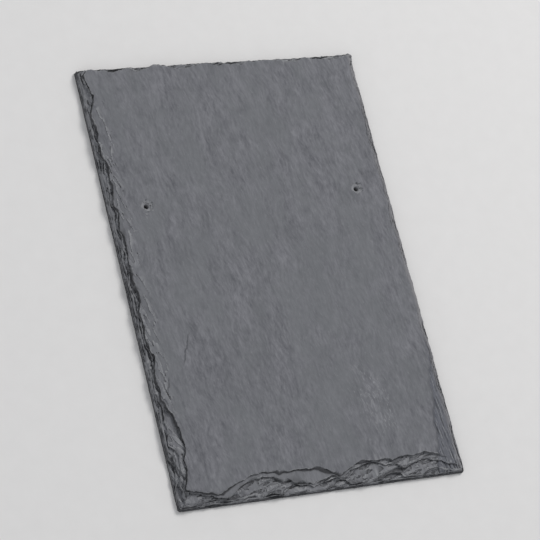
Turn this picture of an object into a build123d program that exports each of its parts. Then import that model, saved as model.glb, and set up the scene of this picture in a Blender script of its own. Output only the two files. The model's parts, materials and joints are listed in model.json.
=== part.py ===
from build123d import *
from collections import namedtuple
import os
import random

# A roofing slate: one split slab of stone, dressed round its edge and holed for two nails.
# X runs along the tail, Y from the tail up to the head, Z up out of the weather face.
# The origin is the centre of the underside. Lengths are in millimetres.

# Slab
slate_width = 304.8
slate_length = 457.2
slate_thickness = 12.7

# The stone breaks in sheets that lie one over another, above a foot that stays whole
foot_height = 2.3
broken_sheets = 5
sheet_thickness = (slate_thickness - foot_height) / broken_sheets

# How far the dressing runs back over the weather face from each side of the slate
tail_bevel = 9.0
left_bevel = 7.0
right_bevel = 9.0
head_bevel = 6.0

# The bevel is steepest at the foot and lies down towards the face, as this power of the height
bevel_power = 1.6

# Scallops that the dressing knife leaves, in heavy blows and in light ones between them.
# The depth of a blow is its share of the bevel, and so are the ridges left between blows.
heavy_blow_pitch = 58.0
heavy_blow_radius = 62.0
heavy_blow_depth = 1.15
light_blow_pitch = 25.0
light_blow_radius = 23.0
light_blow_depth = 0.95
ridge_depth = 0.72
blow_unevenness = 0.3
blow_seed = 5

# The corners are knocked off, more so towards the face
corner_clip = 1.5
corner_mitre = 3.0

# Flakes that ran further into the face than the dressing did: how long and how deep a bite each
# kind took out of the face, and how thick it was. Its wall steps back one tread at each sheet.
flake_tread = 2.6
thin_flake_length = 120.0
thin_flake_bite = 25.0
thin_flake_depth = 2.1
stepped_flake_length = 88.0
stepped_flake_bite = 21.0
stepped_flake_depth = 4.2
chip_length = 56.0
chip_bite = 15.0
chip_depth = 6.3
nick_length = 46.0
nick_bite = 10.5
nick_depth = 8.4

# A long slope at the tail end of the right side, where the face peeled away
slope_width = 32.0
slope_run = 190.0
slope_drop = 5.0

# Nail holes, punched from the underside, so that each one bursts out in a cone on the face
nail_hole_diameter = 4.8
nail_hole_from_side = 38.1
nail_hole_from_head = 152.4
burst_diameter = 13.0
burst_angle = 100.0

Flake = namedtuple("Flake", "length bite depth")
thin = Flake(thin_flake_length, thin_flake_bite, thin_flake_depth)
stepped = Flake(stepped_flake_length, stepped_flake_bite, stepped_flake_depth)
chip = Flake(chip_length, chip_bite, chip_depth)
nick = Flake(nick_length, nick_bite, nick_depth)

# Where the flakes fell: share of the way along the edge, kind of flake, and its size against that kind
tail_flakes = [
    (0.02, stepped, 0.93),
    (0.09, nick, 0.7),
    (0.25, nick, 1.0),
    (0.30, stepped, 1.1),
    (0.31, thin, 1.0),
    (0.41, thin, 0.92),
    (0.41, chip, 0.95),
    (0.52, chip, 1.08),
    (0.53, nick, 1.05),
    (0.64, nick, 0.8),
    (0.67, stepped, 1.12),
    (0.74, chip, 0.85),
    (0.80, nick, 0.85),
    (0.83, thin, 0.96),
    (0.86, stepped, 0.9),
    (0.89, chip, 0.8),
    (0.95, nick, 0.9),
]
left_flakes = [
    (0.03, chip, 0.85),
    (0.08, nick, 1.25),
    (0.085, stepped, 0.72),
    (0.15, thin, 0.74),
    (0.17, nick, 0.8),
    (0.23, chip, 0.45),
    (0.45, nick, 0.6),
    (0.63, stepped, 0.3),
    (0.81, nick, 0.6),
]
right_flakes = [
    (0.31, stepped, 0.45),
    (0.50, nick, 0.9),
    (0.70, stepped, 0.45),
    (0.86, nick, 0.8),
]
head_flakes = [
    (0.22, nick, 0.7),
    (0.57, stepped, 0.35),
    (0.84, nick, 0.7),
]

half_width = slate_width / 2
half_length = slate_length / 2

# The four sides, each from its left or tail end, with the way along it and the way into the slate
Side = namedtuple("Side", "start along inward length bevel flakes")
tail_left = Vector(-half_width, -half_length)
tail_right = Vector(half_width, -half_length)
head_left = Vector(-half_width, half_length)
tail = Side(tail_left, Vector(1, 0), Vector(0, 1), slate_width, tail_bevel, tail_flakes)
head = Side(head_left, Vector(1, 0), Vector(0, -1), slate_width, head_bevel, head_flakes)
left = Side(tail_left, Vector(0, 1), Vector(1, 0), slate_length, left_bevel, left_flakes)
right = Side(tail_right, Vector(0, 1), Vector(-1, 0), slate_length, right_bevel, right_flakes)

Blows = namedtuple("Blows", "pitch radius depth")
heavy = Blows(heavy_blow_pitch, heavy_blow_radius, heavy_blow_depth)
light = Blows(light_blow_pitch, light_blow_radius, light_blow_depth)

# Bites out of one sheet, all of one radius. Sheet 1 lies on the foot and the last bears the face.
Bites = namedtuple("Bites", "sheet centres radius")
sheets = range(1, broken_sheets + 1)


def rise(sheet):
    """Share of its full setback that the bevel has reached at a sheet."""
    return (sheet / broken_sheets) ** bevel_power


def beside(side, place, stand_off):
    """Point that stands off a side, at a place along it."""
    return side.start + side.along * place - side.inward * stand_off


def scallops(side, blows, unevenly):
    """Bites of the blows along one side, which run down through every broken sheet."""
    count = max(2, round(side.length / blows.pitch))
    pitch = side.length / count
    depth = side.bevel * blows.depth
    stand_off = blows.radius - depth
    centres = []
    for blow in range(count):
        shift = unevenly.uniform(-blow_unevenness, blow_unevenness)
        centres.append(beside(side, pitch * (blow + 0.5 + shift), stand_off))
    return [Bites(sheet, centres, stand_off + depth * rise(sheet)) for sheet in sheets]


def flake_scar(side, share, flake, size):
    """Bites of one flake, which took only the upper sheets."""
    length = flake.length * size
    bite = flake.bite * size
    stand_off = length**2 / (8 * bite) - bite / 2
    centre = beside(side, share * side.length, stand_off)
    taken = sheets[-max(1, round(flake.depth / sheet_thickness)) :]
    reach = stand_off + bite
    return [Bites(sheet, [centre], reach - flake_tread * (broken_sheets - sheet)) for sheet in taken]


bites = []
for side in (tail, head, left, right):
    unevenly = random.Random(blow_seed)
    bites += scallops(side, heavy, unevenly)
    bites += scallops(side, light, unevenly)
    for share, flake, size in side.flakes:
        bites += flake_scar(side, share, flake, size)

with BuildPart() as slate:
    with BuildSketch() as foot:
        Rectangle(slate_width, slate_length)
        chamfer(foot.vertices(), corner_clip)
    extrude(amount=foot_height)

    # Each sheet stands back from the one below it by the ridges of the dressing, less its bites
    for sheet in sheets:
        ridge = ridge_depth * rise(sheet)
        middle = (
            (left.bevel - right.bevel) * ridge / 2,
            (tail.bevel - head.bevel) * ridge / 2,
        )
        across = slate_width - (left.bevel + right.bevel) * ridge
        along = slate_length - (tail.bevel + head.bevel) * ridge
        with BuildSketch(Plane.XY.offset(foot_height + (sheet - 1) * sheet_thickness)) as outline:
            with Locations(middle):
                Rectangle(across, along)
            chamfer(outline.vertices(), corner_clip + corner_mitre * rise(sheet))
            for bite in bites:
                if bite.sheet == sheet:
                    with Locations(*bite.centres):
                        Circle(bite.radius, mode=Mode.SUBTRACT)
    extrude(amount=sheet_thickness)

    # The slope falls from a slanting line on the face to its lowest point at the corner
    slope_top = Vector(half_width - slope_width, -half_length, slate_thickness)
    slope_end = Vector(half_width, slope_run - half_length, slate_thickness)
    slope_foot = Vector(half_width, -half_length, slate_thickness - slope_drop)
    upward = (slope_foot - slope_top).cross(slope_end - slope_top)
    split(bisect_by=Plane(origin=slope_top, z_dir=upward), keep=Keep.BOTTOM)

    nail_row = half_length - nail_hole_from_head
    nail_offset = half_width - nail_hole_from_side
    with Locations((-nail_offset, nail_row, slate_thickness), (nail_offset, nail_row, slate_thickness)):
        CounterSinkHole(
            radius=nail_hole_diameter / 2,
            counter_sink_radius=burst_diameter / 2,
            counter_sink_angle=burst_angle,
        )

slate.part.label = "slate"
os.makedirs("parts", exist_ok=True)
export_step(slate.part, "parts/slate.step")
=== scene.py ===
import json
import math
from collections import namedtuple

import bpy
import numpy as np
from mathutils import Matrix, Vector


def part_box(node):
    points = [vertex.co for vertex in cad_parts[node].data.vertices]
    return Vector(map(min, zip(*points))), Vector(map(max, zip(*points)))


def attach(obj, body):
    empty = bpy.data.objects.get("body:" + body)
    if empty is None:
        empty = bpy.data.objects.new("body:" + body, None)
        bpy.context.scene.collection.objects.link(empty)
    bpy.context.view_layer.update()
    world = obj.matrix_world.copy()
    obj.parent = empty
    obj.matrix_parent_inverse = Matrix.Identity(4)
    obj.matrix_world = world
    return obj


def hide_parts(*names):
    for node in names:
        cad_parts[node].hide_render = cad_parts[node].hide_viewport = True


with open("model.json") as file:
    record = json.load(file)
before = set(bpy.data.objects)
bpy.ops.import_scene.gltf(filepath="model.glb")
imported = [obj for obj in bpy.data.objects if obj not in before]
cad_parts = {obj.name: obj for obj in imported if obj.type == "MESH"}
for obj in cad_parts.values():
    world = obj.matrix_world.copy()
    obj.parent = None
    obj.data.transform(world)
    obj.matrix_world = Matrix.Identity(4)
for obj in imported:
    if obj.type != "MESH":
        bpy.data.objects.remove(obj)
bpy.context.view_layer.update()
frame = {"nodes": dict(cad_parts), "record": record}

# A roofing slate, riven and dressed. All lengths are in metres, in the frame of the solid:
# X along the tail, Y up to the head, Z out of the weather face. A pair of numbers is mostly a span,
# over which something fades in or out.

# The slate's own box, from the solid
slate_low, slate_high = (np.array(corner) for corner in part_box("slate"))

# The nail holes, from the record
nail_mount = next(m for m in frame["record"]["mounts"] if m["name"] == "nail_holes")
nail_offset = nail_mount["dims"]["spacing_x_mm"] / 1000 / 2
nail_row = nail_mount["pos_m"][1]
nail_radius = nail_mount["dims"]["hole_r_mm"] / 1000

# Meshing of the stone, and the steps in which its vertex groups are weighted
merge_distance = 1e-6
skin_size = 0.00060
most_triangles = 190000
crease_angle = math.radians(35)
weight_steps = 50

# The grain of the cleavage runs up the slate, leaning a little
grain_lean = math.radians(7)

# Relief of the stone: how strong, the size of a feature across, along and through the slate, the level
# of the pattern that leaves the surface where it is, how far it leans over, the number of steps that
# it is cut into, and how finely it breaks up. At level 0.5 it goes both ways, and at 1.0 it only sinks.
# The contours wander and fray, the rims of the nails' bursts are ragged, the treads spall in flat
# steps, scabs came off the face, the slope is ribbed, the walls are hackled, the rim is nibbled, and
# the face and the bed swell a little.
Relief = namedtuple("Relief", "strength size level lean steps detail", defaults=(0.5, grain_lean, 0, 2))
wander = Relief(0.0100, (0.0200, 0.0200, 0.0040))
fray = Relief(0.0015, (0.0055, 0.0055, 0.0030))
burst = Relief(0.0046, (0.0040, 0.0040, 0.0030))
end_spall = Relief(0.0015, (0.0200, 0.0056, 0.0300), 1.0, lean=math.radians(15), steps=3, detail=1)
side_spall = Relief(0.0019, (0.0060, 0.0260, 0.0300), 1.0, lean=math.radians(28), steps=3, detail=1)
scab = Relief(0.0006, (0.0045, 0.0200, 0.0300), 1.0, lean=math.radians(14), steps=1, detail=1)
rib = Relief(0.0026, (0.0024, 0.0220, 0.0100), 0.7)
hackle = Relief(0.0010, (0.0024, 0.0024, 0.0009))
nibble = Relief(0.0012, (0.0060, 0.0060, 0.0040), 0.9)
swell = Relief(0.0012, (0.0500, 0.1000, 0.0300), 0.8)
bed_swell = Relief(0.0008, (0.0300, 0.1000, 0.0300), 0.3)

# Share of a pattern's range that its steps are spread over
step_spread = 0.5

# A surface passes from steep to level while this much of its normal comes to point up, or down
level_facing = (0.3, 0.9)

# The outline stays straight: the contours wander once they are this far in from it, and the rim is
# nibbled as far in as this
wander_inset = (0.0008, 0.0050)
rim_inset = (0.0, 0.003)

# Heights above the bed and depths below the face at which they give way to the broken edge
bed_height = (0.0005, 0.0020)
face_depth = (0.0003, 0.0010)
tread_depth = (0.0008, 0.0016)

# Round the nail holes the stone is left as it is, except for the ragged rim of each burst, which
# starts so many radii of the hole from its middle and ends this far from it
nail_clearance = 0.0085
nail_fade = 0.006
burst_start = (1.2, 1.8)
burst_reach = (0.0070, 0.0105)

# The treads of the tail and the head meet those of the long sides just off the corners' diagonals
end_meeting = (-0.004, 0.0)

# The left half of the slate passes into the right half over this stretch of X. In the left half the
# topmost flakes of the tail are smooth, down to this depth.
half_way = (0.010, 0.040)
calm_depth = (0.0026, 0.0036)

# Thin scabs came off the face this near to its sides
scab_reach = 0.026

# The right side broke to a soft slope: how wide it is, from what height, how far it stops short of
# the corners' diagonals, how much less ragged it is, and how its steps are evened out
soft_width = 0.016
soft_height = (0.0010, 0.0030)
soft_meeting = (-0.012, -0.004)
right_softness = 0.75
soft_rounds = 26
soft_pull = 0.8

# The slope at the lower right, seen from above: its width at the tail and how far up the side it
# runs, where it fades in past its upper line, over which shares of its run it fades out, and the
# reach and the length of each waver of the line
slope_width = 0.032
slope_run = 0.190
slope_start = (0.0, 0.003)
slope_end = (0.8, 1.0)
slope_waver = [(0.0012, 0.041), (0.0007, 0.0135)]

# Painted shade in the hollows and painted highlights on the arrises, where the surface lies under or over
# its own evened-out shape: how often that is evened out, the depths that count, how much deeper a hollow
# has to be near the left side and near the tail, how near that is, and how much fainter a hollow is on a
# wall
even_turns = 2
fold_depth = (0.00007, 0.00021)
left_shift = 0.00008
tail_shift = -0.00003
shift_reach = (0.018, 0.026)
wall_softness = 0.45

# A wall is where less than this much of the normal points up, and the bed where this much points
# down, as far as this height. The broken stone starts at this depth.
wall_facing = (0.4, 0.8)
bed_facing = (0.3, 0.8)
bed_end = (0.0020, 0.0040)
broken_depth = (0.0012, 0.0022)

# The lip, where the topmost sheet broke off, is dark with painted shade: how dark, how often its mask is
# spread to the neighbours, what it gains each time, the depths between which it lies, and where it sets in
lip_shade = 0.95
lip_turns = 2
spread_gain = 2.0
lip_top = (0.0003, 0.0008)
lip_bottom = (0.0020, 0.0030)
lip_fade = (0.0002, 0.0012)

# The long contour of the tail's left half has a bolder line of painted shade: how often it is spread, the
# slanting walls and the depths that it takes in, and how far from the tail it ends. Its mesh stays fine
# when the rest is thinned, and so does the mesh next to it, evened out in so many turns.
bold_turns = 4
bold_facing = (0.80, 0.96)
bold_top = (0.0003, 0.0006)
bold_bottom = (0.0014, 0.0020)
bold_reach = (0.030, 0.036)
fine_turns = 2

# In the right half the painted shade of the hollows and lips of the upper sheets is fainter by this share,
# to this depth
right_faintness = 0.40
faint_depth = (0.0030, 0.0048)

# The pale cones of the bursts: how far from the nail hole, and how deep
cone_reach = (0.0045, 0.0085)
cone_depth = (0.0003, 0.0010)

# A painted contact shadow darkens the foot of the edge up to this height, and up to a greater one this near
# to the tail
foot_height = (0.0014, 0.0042)
tail_foot_height = (0.0020, 0.0052)
tail_foot_reach = (0.006, 0.012)

# A painted highlight lies along the right side where the light catches it: how far in, and from what height
edge_highlight_reach = (0.006, 0.010)
edge_highlight_height = (0.0015, 0.0040)

# A dark line runs along the top of the slope: where it starts and ends, measured across it, and how
# far from the tail it fades out
line_start = (-0.0012, 0.0004)
line_end = (0.0004, 0.0040)
line_run = (0.05, 0.16)

# Patterns in the stone's colour: the size of a feature, how finely it breaks up, how rough it is and
# how far it leans over. Drifting sways the streaks, and straying the hairlines.
Pattern = namedtuple("Pattern", "size detail roughness lean", defaults=(grain_lean,))
broad_streaks = Pattern((0.0090, 0.0260, 0.0200), 4.0, 0.60)
short_streaks = Pattern((0.0026, 0.0090, 0.0040), 4.0, 0.65)
mottling = Pattern((0.0340, 0.0480, 0.0300), 4.0, 0.60)
pitting = Pattern((0.0009, 0.0020, 0.0009), 3.0, 0.60)
flecking = Pattern((0.0020, 0.0050, 0.0030), 2.0, 0.50)
drifting = Pattern((0.0500, 0.0400, 0.0500), 2.0, 0.50, lean=0.0)
straying = Pattern((0.0080, 0.0080, 0.0080), 3.0, 0.60, lean=0.0)

# How far the streaks drift sideways, the shares of the patterns in the streaks and in the relief, and
# how strong and how high that relief is
drift_reach = 0.012
broad_share = 0.45
short_share = 0.55
grain_share = 0.7
pit_share = 0.3
bump_strength = 0.8
bump_height = 0.0006

# The spans of the patterns that count, and how strongly mottle, flakes and flecks show at most
streak_span = (0.35, 0.65)
mottle_span = (0.38, 0.62)
fleck_span = (0.60, 0.72)
flake_span = (0.50, 0.64)
mottle_share = 0.60
flake_share = 0.65
fleck_share = 0.25

# A coarser, paler patch of the face towards the lower right: its middle, half its size, its lean, and
# the shares of that size between which it fades
patch_middle = (0.072, -0.148)
patch_size = (0.022, 0.045)
patch_lean = math.radians(12)
patch_fade = (0.3, 1.0)

# Two hairline cracks in the face: how wide both are, how far they stray, the shares of the length
# between which they fade, and how strongly they show
Hairline = namedtuple("Hairline", "middle length lean")
hairlines = [
    Hairline((-0.1100, -0.0741), 0.0380, math.radians(-22)),
    Hairline((-0.1370, -0.1101), 0.0240, math.radians(-15)),
]
hairline_width = (0.0003, 0.0012)
hairline_stray = 0.006
hairline_fade = (0.3, 0.5)
hairline_share = 0.75

# Colours of the stone, a dark grey with a slight blue cast
dark_streak = (0.082, 0.084, 0.096)
pale_streak = (0.203, 0.204, 0.221)
mottle_grey = (0.141, 0.147, 0.156)
patch_fleck = (0.260, 0.263, 0.275)
pale_flake = (0.240, 0.243, 0.255)
dark_peeled = (0.058, 0.062, 0.078)
pale_peeled = (0.132, 0.138, 0.162)
dark_hairline = (0.050, 0.052, 0.058)

# How strongly the slope's own colours show, how much the stone shines, and how rough it is at the two
# ends of this span of the streaks
peeled_share = 0.90
stone_specular = 0.35
grain_span = (0.3, 0.7)
stone_roughness = (0.66, 0.80)

# What the masks lay over the stone, one after another: how strongly, and in what colour
mask_layers = {
    "slope_line": (0.55, (0.040, 0.042, 0.050)),
    # Painted highlight along the right side
    "edge_highlight": (0.60, (0.215, 0.206, 0.211)),
    "broken": (0.20, (0.190, 0.193, 0.202)),
    # Paler walls: partly freshly broken stone, partly painted light standing in for the light that reaches
    # them
    "wall": (0.60, (0.260, 0.263, 0.275)),
    "burst": (0.75, (0.290, 0.293, 0.305)),
    # Painted highlights on the arrises
    "arris_highlight": (0.65, (0.320, 0.323, 0.330)),
    # Painted shade in the hollows and creases and under the lips
    "hollow_shade": (0.88, (0.020, 0.020, 0.022)),
    # Painted contact shadow at the foot of the edge
    "foot_shadow": (0.90, (0.026, 0.026, 0.029)),
}

# The pale floor and its faint speckle
floor_side = 12.0
floor_speckle = Pattern((1 / 60, 1 / 60, 1 / 60), 4.0, 0.55, lean=0.0)
floor_dark = (0.71, 0.70, 0.69)
floor_pale = (0.75, 0.74, 0.73)
floor_roughness = 0.9
floor_specular = 0.1

# The sky: even, and a little cool
sky_colour = (0.93, 0.96, 1.0)
sky_strength = 0.48

# The view, fitted to the picture: where the camera stands round the slate, and its turn about its axis
view_azimuth = math.radians(-53.0)
view_elevation = math.radians(58.4)
view_roll = math.radians(42.9)
view_distance = 2.5
picture_side = 540
focal_pixels = 2550
sensor_width = 36.0
look_at = Vector((0.0, 0.0, 0.006))


def only(piece):
    """Selects one object and makes it active."""
    bpy.ops.object.select_all(action="DESELECT")
    piece.select_set(True)
    bpy.context.view_layer.objects.active = piece


def apply_modifier(piece, kind, **settings):
    """Adds a modifier, sets it and applies it."""
    only(piece)
    bpy.ops.object.modifier_add(type=kind)
    modifier = piece.modifiers[-1]
    for name, value in settings.items():
        setattr(modifier, name, value)
    bpy.ops.object.modifier_apply(modifier=modifier.name)


def vertex_values(mesh, name):
    """A vector of every vertex, as rows."""
    values = np.empty(len(mesh.vertices) * 3)
    mesh.vertices.foreach_get(name, values)
    return values.reshape(-1, 3)


def rise(value, span):
    """Rises smoothly from 0 at the start of the span to 1 at its end."""
    start, end = span
    share = np.clip((value - start) / (end - start), 0, 1)
    return share * share * (3 - 2 * share)


def fall(value, span):
    """Falls smoothly from 1 at the start of the span to 0 at its end."""
    return 1 - rise(value, span)


Survey = namedtuple(
    "Survey", "places normals across along facing left tail height right head depth nails"
)


def survey(mesh):
    """Where each vertex lies and looks, and its distances from the slate's six faces and its nails."""
    places = vertex_values(mesh, "co")
    normals = vertex_values(mesh, "normal")
    across, along, facing = places[:, 0], places[:, 1], normals[:, 2]
    nails = np.minimum(
        np.hypot(across + nail_offset, along - nail_row),
        np.hypot(across - nail_offset, along - nail_row),
    )
    from_low, from_high = (places - slate_low).T, (slate_high - places).T
    return Survey(places, normals, across, along, facing, *from_low, *from_high, nails)


def past_slope_line(points):
    """How far each vertex lies past the upper line of the slope, which wavers."""
    line = slate_high[0] - slope_width * np.clip(1 - points.tail / slope_run, 0, 1)
    for reach, length in slope_waver:
        line += reach * np.sin(2 * math.pi * points.along / length)
    return points.across - line


def on_slope(points):
    """Whether each vertex lies on the slope at the lower right, fading in past its upper line."""
    return rise(past_slope_line(points), slope_start) * fall(points.tail / slope_run, slope_end)


def copy_of_solid(name):
    """A merged copy of the solid's mesh, as a piece of its own."""
    piece = bpy.data.objects.new(name, frame["nodes"]["slate"].data.copy())
    bpy.context.scene.collection.objects.link(piece)
    piece.data.name = name
    piece.data.materials.clear()
    only(piece)
    bpy.ops.object.mode_set(mode="EDIT")
    bpy.ops.mesh.select_all(action="SELECT")
    bpy.ops.mesh.remove_doubles(threshold=merge_distance)
    bpy.ops.object.mode_set(mode="OBJECT")
    return piece


def add_group(piece, name, weights):
    """A vertex group with a weight for every vertex, in steps."""
    group = piece.vertex_groups.new(name=name)
    steps = np.rint(weights * weight_steps).astype(int)
    for step in range(1, weight_steps + 1):
        members = np.flatnonzero(steps == step)
        if len(members):
            group.add(members.tolist(), step / weight_steps, "REPLACE")


def mark_regions(piece):
    """Groups of the stone's surface, one for each kind of relief."""
    points = survey(piece.data)
    from_ends = np.minimum(points.tail, points.head)
    inset = np.minimum(np.minimum(points.left, points.right), from_ends)
    # Zero where the tail or the head is the nearest side, and negative where a long side is
    lag = inset - from_ends

    clear = rise(points.nails, (nail_clearance, nail_clearance + nail_fade))
    upward = rise(points.facing, level_facing)
    downward = rise(-points.facing, level_facing)
    above_bed = rise(points.height, bed_height)
    slope = on_slope(points)

    soft = fall(points.right, (soft_width, 1.5 * soft_width)) * fall(lag, soft_meeting)
    hard = 1 - right_softness * soft
    treads = clear * upward * above_bed * rise(points.depth, tread_depth) * (1 - slope) * hard
    at_end = rise(lag, end_meeting)
    calm = fall(points.across, half_way) * fall(points.depth, calm_depth) * (points.along < 0)
    near_nails = rise(points.nails, [nail_radius * share for share in burst_start])
    near_side = fall(inset, (scab_reach / 2, scab_reach))
    near_side *= rise(from_ends, (scab_reach, 2 * scab_reach))
    near_side *= 1 - right_softness * rise(points.across, (0.0, scab_reach))
    on_face = upward * fall(points.depth, face_depth)

    add_group(piece, "soft_side", clear * soft * rise(points.height, soft_height))
    add_group(piece, "contours", clear * hard * rise(inset, wander_inset))
    add_group(piece, "end_treads", treads * at_end * (1 - calm))
    add_group(piece, "side_treads", treads * (1 - at_end))
    add_group(piece, "walls", clear * (1 - upward) * (1 - downward) * above_bed)
    add_group(piece, "rim", clear * fall(inset, rim_inset))
    add_group(piece, "bursts", near_nails * fall(points.nails, burst_reach) * (1 - downward))
    add_group(piece, "slope", clear * upward * slope)
    add_group(piece, "face_edge", clear * on_face * near_side * (1 - slope))
    add_group(piece, "upper", clear * upward * above_bed)
    add_group(piece, "bed", clear * downward * (1 - above_bed))


def grain_space(name, size, lean):
    """An empty whose space stretches a pattern to the size of its features and leans it over."""
    space = bpy.data.objects.new(name, None)
    bpy.context.scene.collection.objects.link(space)
    space.scale = size
    space.rotation_euler = (0, 0, lean)
    return space


def cut_into_steps(pattern, count):
    """Makes a cloudy pattern rise in that many steps."""
    pattern.use_color_ramp = True
    pattern.color_ramp.interpolation = "CONSTANT"
    steps = pattern.color_ramp.elements
    steps[0].color = (0, 0, 0, 1)
    steps[1].position = 1.0
    steps[1].color = (1, 1, 1, 1)
    for number in range(1, count + 1):
        step = steps.new(0.5 + step_spread * (number / (count + 1) - 0.5))
        step.color = (number / count,) * 3 + (1,)


def displace(piece, name, relief, group, direction):
    """Moves the stone's surface by one kind of relief, where the group has it."""
    pattern = bpy.data.textures.new(name, "CLOUDS")
    pattern.noise_scale = 1.0
    pattern.noise_depth = relief.detail
    if relief.steps:
        cut_into_steps(pattern, relief.steps)
    space = grain_space(name + "_space", relief.size, relief.lean)
    bpy.context.view_layer.update()
    apply_modifier(
        piece,
        "DISPLACE",
        texture=pattern,
        texture_coords="OBJECT",
        texture_coords_object=space,
        strength=relief.strength,
        mid_level=relief.level,
        direction=direction,
        vertex_group=group,
    )
    bpy.data.objects.remove(space)


def keep_inside(piece):
    """Trims what the relief pushed past the solid's box."""
    places = np.clip(vertex_values(piece.data, "co"), slate_low, slate_high)
    piece.data.vertices.foreach_set("co", places.ravel())
    piece.data.update()


def edge_ends(mesh):
    """The two vertices of every edge, as rows."""
    ends = np.empty(len(mesh.edges) * 2, dtype=np.int64)
    mesh.edges.foreach_get("vertices", ends)
    return ends.reshape(-1, 2)


def neighbour_mean(values, ends, turns=1):
    """Values of the vertices, or rows of them, evened out over their neighbours so many times."""
    count = len(values)
    degree = np.maximum(np.bincount(ends.ravel(), minlength=count), 1)
    for turn in range(turns):
        means = []
        for column in values.reshape(count, -1).T:
            total = np.bincount(ends[:, 0], column[ends[:, 1]], count)
            total += np.bincount(ends[:, 1], column[ends[:, 0]], count)
            means.append(total / degree)
        values = np.stack(means, axis=1).reshape(values.shape)
    return values


def spread(values, ends, turns):
    """A mask that has grown over its neighbours so many times."""
    for turn in range(turns):
        values = np.minimum(spread_gain * neighbour_mean(values, ends), 1)
    return values


def lip_mask(points, ends, wall):
    """Painted shade on the lip of the topmost sheet, all round the face."""
    lip = wall * rise(points.depth, lip_top) * fall(points.depth, lip_bottom)
    return spread(lip * rise(points.nails, burst_reach), ends, lip_turns)


def bold_contour(points, ends):
    """Painted shade along the long contour of the tail's left half."""
    bold = fall(points.facing, bold_facing) * rise(points.depth, bold_top) * fall(points.depth, bold_bottom)
    bold = spread(bold, ends, bold_turns)
    return bold * fall(points.across, half_way) * fall(points.tail, bold_reach)


def foot_shadow_mask(points):
    """Painted contact shadow at the foot of the edge, which reaches higher at the tail."""
    at_tail = fall(points.tail, tail_foot_reach) * fall(points.height, tail_foot_height)
    return np.maximum(fall(points.height, foot_height), at_tail)


def slope_line_mask(points):
    """The dark line along the top of the slope."""
    past_line = past_slope_line(points)
    return rise(past_line, line_start) * fall(past_line, line_end) * fall(points.tail, line_run)


def paint_masks(piece):
    """Masks of the stone's own tones and of its painted shade and highlights, for the material to read."""
    mesh = piece.data
    points = survey(mesh)
    ends = edge_ends(mesh)
    off_bed = 1 - rise(-points.facing, bed_facing) * fall(points.height, bed_end)
    steep = fall(points.facing, wall_facing)
    wall = steep * off_bed

    bold = bold_contour(points, ends)
    kept_fine = neighbour_mean(bold, ends, fine_turns)
    add_group(piece, "kept_fine", np.minimum(weight_steps * kept_fine, 1))
    lip = np.maximum(lip_mask(points, ends, wall), bold) * rise(points.depth, lip_fade)

    evened = neighbour_mean(points.places, ends, even_turns)
    sunk = np.einsum("ij,ij->i", evened - points.places, points.normals)
    shift = left_shift * fall(points.left, shift_reach) + tail_shift * fall(points.tail, shift_reach)
    hollow_shade = rise(sunk - shift, fold_depth) * (1 - wall_softness * steep)
    faint = right_faintness * rise(points.across, half_way) * fall(points.depth, faint_depth)

    masks = {
        "broken": rise(points.depth, broken_depth) * off_bed,
        # Painted shade in the hollows and creases and under the lips
        "hollow_shade": np.maximum(hollow_shade, lip_shade * lip) * (1 - faint),
        # Painted highlights on the arrises
        "arris_highlight": rise(-sunk, fold_depth) * (1 - lip),
        "peeled": on_slope(points) * off_bed,
        # Paler walls: partly freshly broken stone, partly painted light standing in for the light that
        # reaches them
        "wall": wall,
        "burst": fall(points.nails, cone_reach) * rise(points.depth, cone_depth) * off_bed,
        # Painted contact shadow at the foot of the edge
        "foot_shadow": wall * foot_shadow_mask(points),
        # Painted highlight along the right side
        "edge_highlight": fall(points.right, edge_highlight_reach) * rise(points.height, edge_highlight_height),
        "slope_line": slope_line_mask(points) * off_bed,
    }
    for name, values in masks.items():
        attribute = mesh.attributes.new(name, "FLOAT", "POINT")
        attribute.data.foreach_set("value", np.clip(values, 0, 1).astype(np.float32))


def riven_stone():
    """The slate: the solid's shape, broken and riven as the stone breaks."""
    stone = copy_of_solid("riven_slate")
    apply_modifier(stone, "REMESH", mode="VOXEL", voxel_size=skin_size)
    mark_regions(stone)
    apply_modifier(stone, "SMOOTH", factor=soft_pull, iterations=soft_rounds, vertex_group="soft_side")
    displace(stone, "wander_across", wander, "contours", "X")
    displace(stone, "wander_along", wander, "contours", "Y")
    displace(stone, "fray_across", fray, "contours", "X")
    displace(stone, "fray_along", fray, "contours", "Y")
    displace(stone, "burst_across", burst, "bursts", "X")
    displace(stone, "burst_along", burst, "bursts", "Y")
    displace(stone, "end_spall", end_spall, "end_treads", "Z")
    displace(stone, "side_spall", side_spall, "side_treads", "Z")
    displace(stone, "scab", scab, "face_edge", "Z")
    displace(stone, "rib", rib, "slope", "Z")
    displace(stone, "hackle", hackle, "walls", "NORMAL")
    displace(stone, "nibble", nibble, "rim", "NORMAL")
    displace(stone, "swell", swell, "upper", "Z")
    displace(stone, "bed", bed_swell, "bed", "Z")
    keep_inside(stone)
    paint_masks(stone)
    triangles = sum(len(face.vertices) - 2 for face in stone.data.polygons)
    apply_modifier(
        stone,
        "DECIMATE",
        ratio=min(1.0, most_triangles / triangles),
        use_collapse_triangulate=True,
        vertex_group="kept_fine",
        invert_vertex_group=True,
    )
    keep_inside(stone)
    stone.vertex_groups.clear()
    only(stone)
    bpy.ops.object.shade_smooth_by_angle(angle=crease_angle)
    apply_modifier(stone, "WEIGHTED_NORMAL", keep_sharp=True)
    return stone


def math_node(tree, operation, *terms):
    """One sum, whose terms are sockets or numbers."""
    node = tree.nodes.new("ShaderNodeMath")
    node.operation = operation
    for socket, term in zip(node.inputs, terms):
        if isinstance(term, (int, float)):
            socket.default_value = term
        else:
            tree.links.new(term, socket)
    return node.outputs[0]


def times(tree, a, b):
    """Two values multiplied."""
    return math_node(tree, "MULTIPLY", a, b)


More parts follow.
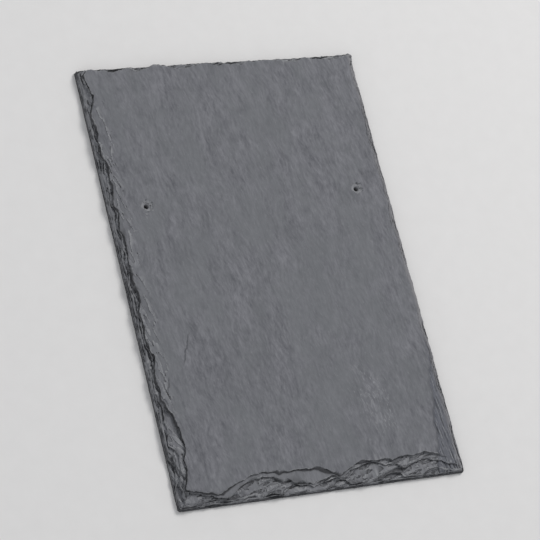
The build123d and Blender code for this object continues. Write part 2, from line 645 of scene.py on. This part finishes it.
def weighted(tree, a, share_a, b, share_b):
    """Two values added, each by its share."""
    return math_node(tree, "ADD", times(tree, a, share_a), times(tree, b, share_b))


def map_range(tree, value, span, to_low=0.0, to_high=1.0):
    """Value carried from its span to another range, kept within it."""
    node = tree.nodes.new("ShaderNodeMapRange")
    tree.links.new(value, node.inputs["Value"])
    node.inputs["From Min"].default_value, node.inputs["From Max"].default_value = span
    node.inputs["To Min"].default_value = to_low
    node.inputs["To Max"].default_value = to_high
    return node.outputs["Result"]


def mix_colour(tree, factor, a, b):
    """Two colours mixed, each a socket or a plain colour."""
    node = tree.nodes.new("ShaderNodeMix")
    node.data_type = "RGBA"
    sockets = {socket.identifier: socket for socket in node.inputs}
    tree.links.new(factor, sockets["Factor_Float"])
    for name, colour in (("A_Color", a), ("B_Color", b)):
        if isinstance(colour, tuple):
            sockets[name].default_value = (*colour, 1.0)
        else:
            tree.links.new(colour, sockets[name])
    return next(socket for socket in node.outputs if socket.identifier == "Result_Color")


def placed(tree, vector, location=(0, 0, 0), lean=0.0, size=(1, 1, 1)):
    """Coordinates in a space at that place, leaning over, and measured in features of that size."""
    node = tree.nodes.new("ShaderNodeMapping")
    node.vector_type = "TEXTURE"
    node.inputs["Location"].default_value = location
    node.inputs["Rotation"].default_value = (0, 0, lean)
    node.inputs["Scale"].default_value = size
    tree.links.new(vector, node.inputs["Vector"])
    return node.outputs["Vector"]


def noise(tree, vector, pattern):
    """One of the patterns, laid on that vector."""
    node = tree.nodes.new("ShaderNodeTexNoise")
    node.inputs["Scale"].default_value = 1.0
    node.inputs["Detail"].default_value = pattern.detail
    node.inputs["Roughness"].default_value = pattern.roughness
    tree.links.new(placed(tree, vector, lean=pattern.lean, size=pattern.size), node.inputs["Vector"])
    return node.outputs["Fac"]


def vertex_mask(tree, name, share):
    """A mask from the mesh, by its share."""
    node = tree.nodes.new("ShaderNodeAttribute")
    node.attribute_name = name
    return times(tree, node.outputs["Fac"], share)


def new_material(name, specular):
    """A material with its node tree, its shader and its Object coordinates."""
    material = bpy.data.materials.new(name)
    material.use_nodes = True
    tree = material.node_tree
    shader = tree.nodes["Principled BSDF"]
    shader.inputs["Specular IOR Level"].default_value = specular
    return material, tree, shader, tree.nodes.new("ShaderNodeTexCoord").outputs["Object"]


def new_group(name, inputs, outputs):
    """An empty shader node group with named sockets."""
    group = bpy.data.node_groups.new(name, "ShaderNodeTree")
    for socket, kind in inputs:
        group.interface.new_socket(name=socket, in_out="INPUT", socket_type=kind)
    for socket, kind in outputs:
        group.interface.new_socket(name=socket, in_out="OUTPUT", socket_type=kind)
    group.nodes.new("NodeGroupInput").name = "in"
    group.nodes.new("NodeGroupOutput").name = "out"
    return group


def cleft_group():
    """Streaks, mottle, flecks and fine relief of riven slate."""
    group = new_group(
        "cleft_grain",
        [("Vector", "NodeSocketVector")],
        [(name, "NodeSocketFloat") for name in ("Streak", "Mottle", "Speck", "Relief")],
    )
    place = group.nodes["in"].outputs["Vector"]
    drift = group.nodes.new("ShaderNodeCombineXYZ")
    group.links.new(times(group, noise(group, place, drifting), drift_reach), drift.inputs["X"])
    sway = group.nodes.new("ShaderNodeVectorMath")
    sway.operation = "ADD"
    group.links.new(place, sway.inputs[0])
    group.links.new(drift.outputs["Vector"], sway.inputs[1])
    swayed = sway.outputs["Vector"]
    broad = noise(group, swayed, broad_streaks)
    short = noise(group, swayed, short_streaks)
    results = {
        "Streak": weighted(group, broad, broad_share, short, short_share),
        "Mottle": noise(group, swayed, mottling),
        "Speck": map_range(group, noise(group, swayed, flecking), fleck_span),
        "Relief": weighted(group, short, grain_share, noise(group, swayed, pitting), pit_share),
    }
    for name, value in results.items():
        group.links.new(value, group.nodes["out"].inputs[name])
    return group


def patch_mask(tree, place):
    """Mask of the coarser, paler patch towards the lower right of the face."""
    reach = tree.nodes.new("ShaderNodeVectorMath")
    reach.operation = "LENGTH"
    inside = placed(tree, place, (*patch_middle, slate_high[2]), patch_lean, (*patch_size, 1.0))
    tree.links.new(inside, reach.inputs[0])
    return map_range(tree, reach.outputs["Value"], patch_fade, 1.0, 0.0)


def hairline_mask(tree, place, hairline):
    """Mask of one straying hairline crack in the weather face."""
    inside = placed(tree, place, (*hairline.middle, slate_high[2]), hairline.lean)
    parts = tree.nodes.new("ShaderNodeSeparateXYZ")
    tree.links.new(inside, parts.inputs[0])
    stray = math_node(tree, "SUBTRACT", noise(tree, inside, straying), 0.5)
    across = math_node(tree, "ADD", parts.outputs["X"], times(tree, stray, hairline_stray))
    near = map_range(tree, math_node(tree, "ABSOLUTE", across), hairline_width, 1.0, 0.0)
    ends = [hairline.length * share for share in hairline_fade]
    within = map_range(tree, math_node(tree, "ABSOLUTE", parts.outputs["Y"]), ends, 1.0, 0.0)
    return times(tree, near, within)


def slate_stone():
    """Blue-grey slate, paler where it is freshly broken, with painted shade in the hollows and painted
    highlights on the arrises and along the right side.
    """
    material, tree, shader, place = new_material("slate_stone", stone_specular)
    cleft = tree.nodes.new("ShaderNodeGroup")
    cleft.node_tree = cleft_group()
    tree.links.new(place, cleft.inputs["Vector"])
    grain, specks = cleft.outputs["Streak"], cleft.outputs["Speck"]

    streaks = map_range(tree, grain, streak_span)
    tint = mix_colour(tree, streaks, dark_streak, pale_streak)
    mottled = map_range(tree, cleft.outputs["Mottle"], mottle_span, 0.0, mottle_share)
    tint = mix_colour(tree, mottled, tint, mottle_grey)
    patch = patch_mask(tree, place)
    tint = mix_colour(tree, times(tree, patch, specks), tint, patch_fleck)
    flaky = times(tree, patch, map_range(tree, grain, flake_span, 0.0, flake_share))
    tint = mix_colour(tree, flaky, tint, pale_flake)
    tint = mix_colour(tree, times(tree, specks, fleck_share), tint, pale_flake)
    peeled = mix_colour(tree, streaks, dark_peeled, pale_peeled)
    tint = mix_colour(tree, vertex_mask(tree, "peeled", peeled_share), tint, peeled)
    for hairline in hairlines:
        crack = times(tree, hairline_mask(tree, place, hairline), hairline_share)
        tint = mix_colour(tree, crack, tint, dark_hairline)
    for name, (share, colour) in mask_layers.items():
        tint = mix_colour(tree, vertex_mask(tree, name, share), tint, colour)
    tree.links.new(tint, shader.inputs["Base Color"])
    tree.links.new(map_range(tree, grain, grain_span, *stone_roughness), shader.inputs["Roughness"])

    bump = tree.nodes.new("ShaderNodeBump")
    bump.inputs["Strength"].default_value = bump_strength
    bump.inputs["Distance"].default_value = bump_height
    tree.links.new(cleft.outputs["Relief"], bump.inputs["Height"])
    tree.links.new(bump.outputs["Normal"], shader.inputs["Normal"])
    return material


def pale_floor():
    """Pale studio floor with a faint speckle."""
    material, tree, shader, place = new_material("pale_floor", floor_specular)
    shader.inputs["Roughness"].default_value = floor_roughness
    speckle = noise(tree, place, floor_speckle)
    tree.links.new(mix_colour(tree, speckle, floor_dark, floor_pale), shader.inputs["Base Color"])
    return material


def make_floor():
    """A level floor under the slate."""
    bpy.ops.object.select_all(action="DESELECT")
    bpy.ops.mesh.primitive_plane_add(size=floor_side, location=(0, 0, 0))
    floor = bpy.context.object
    floor.name = "floor"
    floor.data.materials.append(pale_floor())


def add_light(name, towards, distance, size, power, colour):
    """A square soft light that shines on the slate's middle from that direction."""
    bpy.ops.object.select_all(action="DESELECT")
    direction = Vector(towards).normalized()
    bpy.ops.object.light_add(type="AREA", location=look_at + direction * distance)
    light = bpy.context.object
    light.name = name
    light.rotation_euler = direction.to_track_quat("Z", "Y").to_euler()
    light.data.shape = "SQUARE"
    light.data.size = size
    light.data.energy = power
    light.data.color = colour


def light_the_slate():
    """A soft key from the head and the right, a weak fill from the tail and the left, and the sky."""
    add_light("key", (0.54, 0.36, 0.74), distance=3.6, size=1.2, power=74.0, colour=(1.0, 0.985, 0.975))
    add_light("fill", (-0.75, -0.45, 0.50), distance=3.0, size=2.4, power=15.0, colour=(1.0, 0.99, 0.98))
    world = bpy.data.worlds.new("studio")
    bpy.context.scene.world = world
    world.use_nodes = True
    background = world.node_tree.nodes["Background"]
    background.inputs["Color"].default_value = (*sky_colour, 1.0)
    background.inputs["Strength"].default_value = sky_strength


def aim_camera():
    """The camera where the picture was taken from, turned as the picture is."""
    bpy.ops.object.select_all(action="DESELECT")
    back = Vector((
        math.sin(view_azimuth) * math.cos(view_elevation),
        -math.cos(view_azimuth) * math.cos(view_elevation),
        math.sin(view_elevation),
    ))
    bpy.ops.object.camera_add(location=look_at + back * view_distance)
    camera = bpy.context.object
    camera.name = "camera"
    level = (-back).to_track_quat("-Z", "Y").to_matrix().to_4x4()
    turned = level @ Matrix.Rotation(view_roll, 4, "Z")
    camera.matrix_world = Matrix.Translation(camera.location) @ turned
    camera.data.sensor_width = sensor_width
    camera.data.lens = focal_pixels * sensor_width / picture_side
    bpy.context.scene.camera = camera


stone = riven_stone()
stone.data.materials.append(slate_stone())
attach(stone, "root")
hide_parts("slate")

make_floor()
light_the_slate()
aim_camera()

bpy.context.scene.view_settings.view_transform = "Standard"
